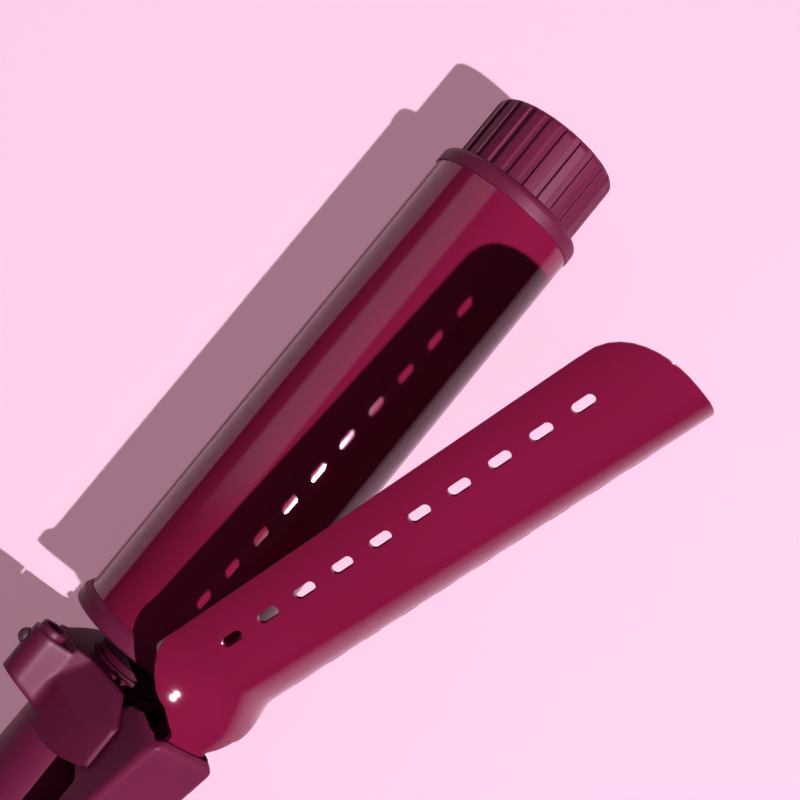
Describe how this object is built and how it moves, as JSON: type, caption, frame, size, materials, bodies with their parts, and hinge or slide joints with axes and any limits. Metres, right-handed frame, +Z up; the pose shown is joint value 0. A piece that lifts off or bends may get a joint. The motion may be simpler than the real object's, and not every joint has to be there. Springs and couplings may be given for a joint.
{
  "type": "curling tongs",
  "caption": "Curling tongs with a heated round barrel, an open sprung clamp with vent slots, a ribbed cool tip, a hinge collar with screw ears, a thumb lever and a grip handle.",
  "frame": {"origin": "middle of the bounding box on the surface that the tongs rest on", "axes": "+X along the barrel towards the cool tip (tilted down by the rings' 0.36 degrees), +Z up from the surface; the clamp opens towards +Z and -Y"},
  "size_m": [0.3118, 0.0798, 0.0868],
  "materials": {
    "satin_body": "fine satin texture",
    "gloss_enamel": "high-gloss enamel",
    "screw_steel": "darkened zinc",
    "pin_steel": "turned",
    "spring_steel": "drawn wire",
    "heater_aluminium": "extruded",
    "element_plate": "plated",
    "insulating_film": "amber film",
    "ceramic_body": "unglazed",
    "black_plastic": "moulded",
    "lead_sleeve": "woven glass sleeve",
    "dark_neck": "satin",
    "dark_rubber": "matt",
    "panel_gloss": "smooth",
    "lens_clear": "frosted",
    "board_green": "solder mask",
    "button_satin": "satin"
  },
  "bodies": {
    "tongs": {"barrel_tube": "gloss_enamel", "base_ring": "satin_body", "tip_ring": "satin_body", "cool_tip": "satin_body", "tip_screw": "screw_steel", "heater_core_upper": "heater_aluminium", "heater_core_lower": "heater_aluminium", "heating_element": "element_plate", "heater_film": "insulating_film", "thermal_fuse": "ceramic_body", "temperature_sensor": "black_plastic", "heater_leads": "lead_sleeve", "barrel_hub": "dark_neck", "hinge_collar": "satin_body", "ear_screws": "screw_steel", "foot_pads": "dark_rubber", "hinge_pin": "pin_steel", "clamp_spring": "spring_steel", "handle_upper_shell": "satin_body", "handle_lower_shell": "satin_body", "handle_screws": "screw_steel", "control_panel": "panel_gloss", "indicator_lenses": "lens_clear", "circuit_board": "board_green", "board_screws": "screw_steel", "button_switches": "black_plastic", "terminal_block": "ceramic_body", "end_cap": "satin_body", "swivel_retainer": "pin_steel"},
    "clamp": {"clamp_plate": "gloss_enamel", "thumb_lever": "satin_body", "lever_screws": "pin_steel"},
    "power_key": {"power_button": "button_satin"},
    "plus_key": {"plus_button": "button_satin"},
    "minus_key": {"minus_button": "button_satin"},
    "cord_swivel": {"cord_inlet": "dark_rubber"}
  },
  "joints": [
    {"name": "clamp_hinge", "type": "hinge", "parent": "tongs", "child": "clamp", "pos_m": [-0.01193, 0.00739, 0.03134], "axis": [-0.0038, -0.7938, -0.6082], "range_deg": [-24.1, 4.8], "stiffness_Nm_per_rad": 0.32, "springref_deg": -45.84},
    {"name": "power_press", "type": "slide", "parent": "tongs", "child": "power_key", "axis": [-0.005, 0.6082, -0.7938], "range_m": [0, 0.0006], "stiffness_N_per_m": 600, "springref_m": -0.0005},
    {"name": "plus_press", "type": "slide", "parent": "tongs", "child": "plus_key", "axis": [-0.005, 0.6082, -0.7938], "range_m": [0, 0.0006], "stiffness_N_per_m": 600, "springref_m": -0.0005},
    {"name": "minus_press", "type": "slide", "parent": "tongs", "child": "minus_key", "axis": [-0.005, 0.6082, -0.7938], "range_m": [0, 0.0006], "stiffness_N_per_m": 600, "springref_m": -0.0005},
    {"name": "inlet_swivel", "type": "hinge", "parent": "tongs", "child": "cord_swivel", "pos_m": [-0.14385, 0.01591, 0.02106], "axis": [1, 0, -0.0063], "continuous": true}
  ]
}
